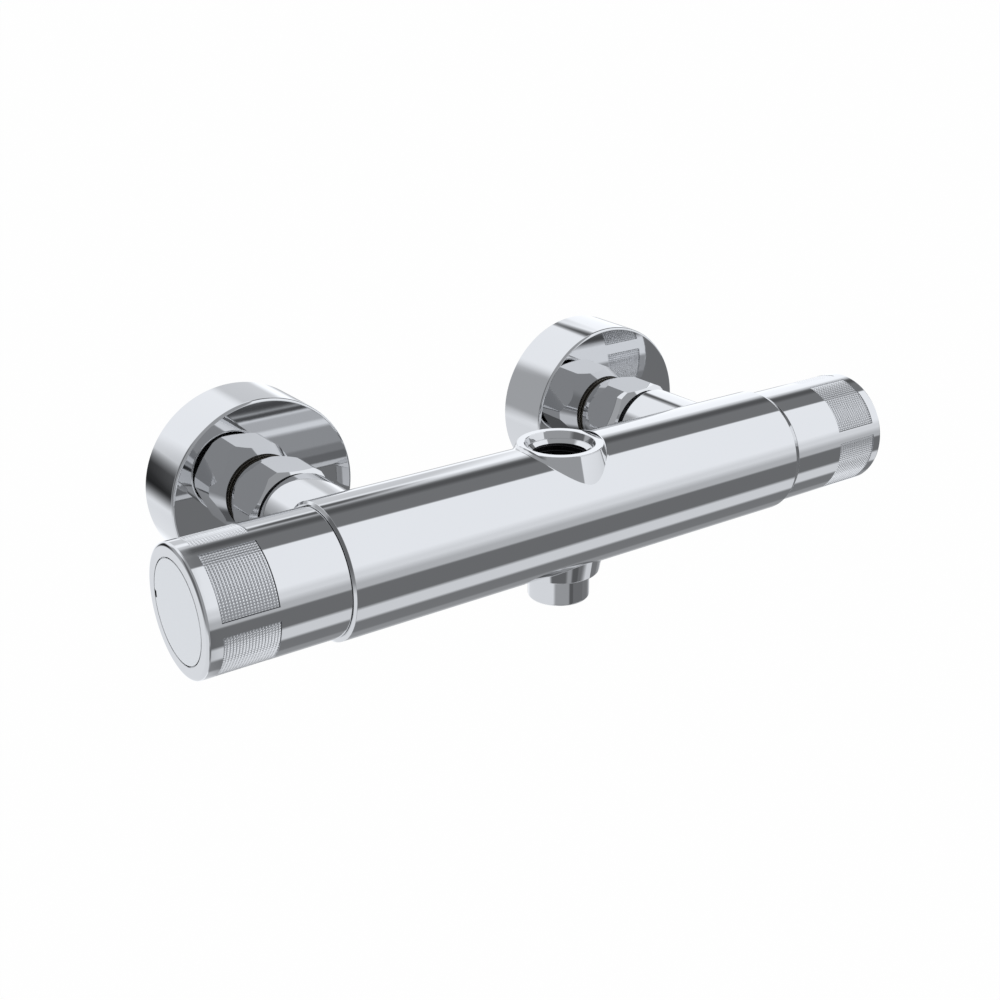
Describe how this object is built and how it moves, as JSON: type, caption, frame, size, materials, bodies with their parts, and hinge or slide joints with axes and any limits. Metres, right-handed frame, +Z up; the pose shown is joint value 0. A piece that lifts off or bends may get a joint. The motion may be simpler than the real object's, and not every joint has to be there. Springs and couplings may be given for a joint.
{
  "type": "shower bar mixer",
  "caption": "Wall-mounted round shower bar mixer with a knurled turning handle at each end, an open threaded outlet on top, a hose nipple below and eccentric unions behind rosettes.",
  "frame": {"origin": "on the wall plane, midway between the axes of the two inlets", "axes": "+X right along the bar as seen from the front, +Y into the wall, +Z up"},
  "size_m": [0.2715, 0.1274, 0.0674],
  "materials": {
    "chrome": "polished chrome plate",
    "satin_chrome": "satin chrome plate",
    "brass": "turned",
    "steel": "drawn",
    "rubber": "matte",
    "foam": "closed-cell foam",
    "white_plastic": "moulded",
    "dark_plastic": "moulded",
    "ceramic": "lapped ceramic"
  },
  "bodies": {
    "mixer": {"body": "chrome", "union_left": "brass", "union_right": "brass", "rosette_left": "chrome", "rosette_right": "chrome", "rosette_gasket_left": "foam", "rosette_gasket_right": "foam", "nut_ring_left": "steel", "nut_ring_right": "steel", "inlet_washer_left": "rubber", "inlet_washer_right": "rubber", "filter_left": "steel", "filter_right": "steel", "check_valve_left": "white_plastic", "check_valve_right": "white_plastic", "valve_spring_left": "steel", "valve_spring_right": "steel", "hose_nipple": "chrome", "nipple_seal": "rubber", "mix_housing": "white_plastic", "mix_base": "white_plastic", "mix_base_seal": "rubber", "mix_rings": "rubber", "mix_fixed_disc": "ceramic", "mix_nut": "brass", "divert_housing": "white_plastic", "divert_base": "white_plastic", "divert_base_seal": "rubber", "divert_ring": "rubber", "divert_fixed_disc": "ceramic", "divert_nut": "brass"},
    "mixing_handle": {"handle_left": "chrome", "cover_left": "satin_chrome", "handle_screw_left": "steel", "mix_spindle": "brass", "mix_spindle_seal": "rubber", "mix_moving_disc": "ceramic"},
    "diverter_handle": {"handle_right": "chrome", "cover_right": "satin_chrome", "handle_screw_right": "steel", "divert_spindle": "brass", "divert_spindle_seal": "rubber", "divert_moving_disc": "ceramic"},
    "left_union_nut": {"union_nut_left": "chrome"},
    "right_union_nut": {"union_nut_right": "chrome"},
    "left_valve_cone": {"valve_cone_left": "dark_plastic"},
    "right_valve_cone": {"valve_cone_right": "dark_plastic"}
  },
  "joints": [
    {"name": "mixing_turn", "type": "hinge", "parent": "mixer", "child": "mixing_handle", "pos_m": [-0.0906, -0.0895, 0], "axis": [-1, 0, 0], "range_deg": [0, 130]},
    {"name": "diverter_turn", "type": "hinge", "parent": "mixer", "child": "diverter_handle", "pos_m": [0.092, -0.0895, 0], "axis": [1, 0, 0], "range_deg": [-75, 75]},
    {"name": "left_nut_turn", "type": "hinge", "parent": "mixer", "child": "left_union_nut", "pos_m": [-0.075, -0.035, 0], "axis": [0, 1, 0], "continuous": true},
    {"name": "right_nut_turn", "type": "hinge", "parent": "mixer", "child": "right_union_nut", "pos_m": [0.075, -0.035, 0], "axis": [0, 1, 0], "continuous": true},
    {"name": "left_valve_lift", "type": "slide", "parent": "mixer", "child": "left_valve_cone", "axis": [0, -1, 0], "range_m": [0, 0.0024], "stiffness_N_per_m": 60, "springref_m": -0.002, "deforming": ["valve_spring_left"]},
    {"name": "right_valve_lift", "type": "slide", "parent": "mixer", "child": "right_valve_cone", "axis": [0, -1, 0], "range_m": [0, 0.0024], "stiffness_N_per_m": 60, "springref_m": -0.002, "deforming": ["valve_spring_right"]}
  ]
}
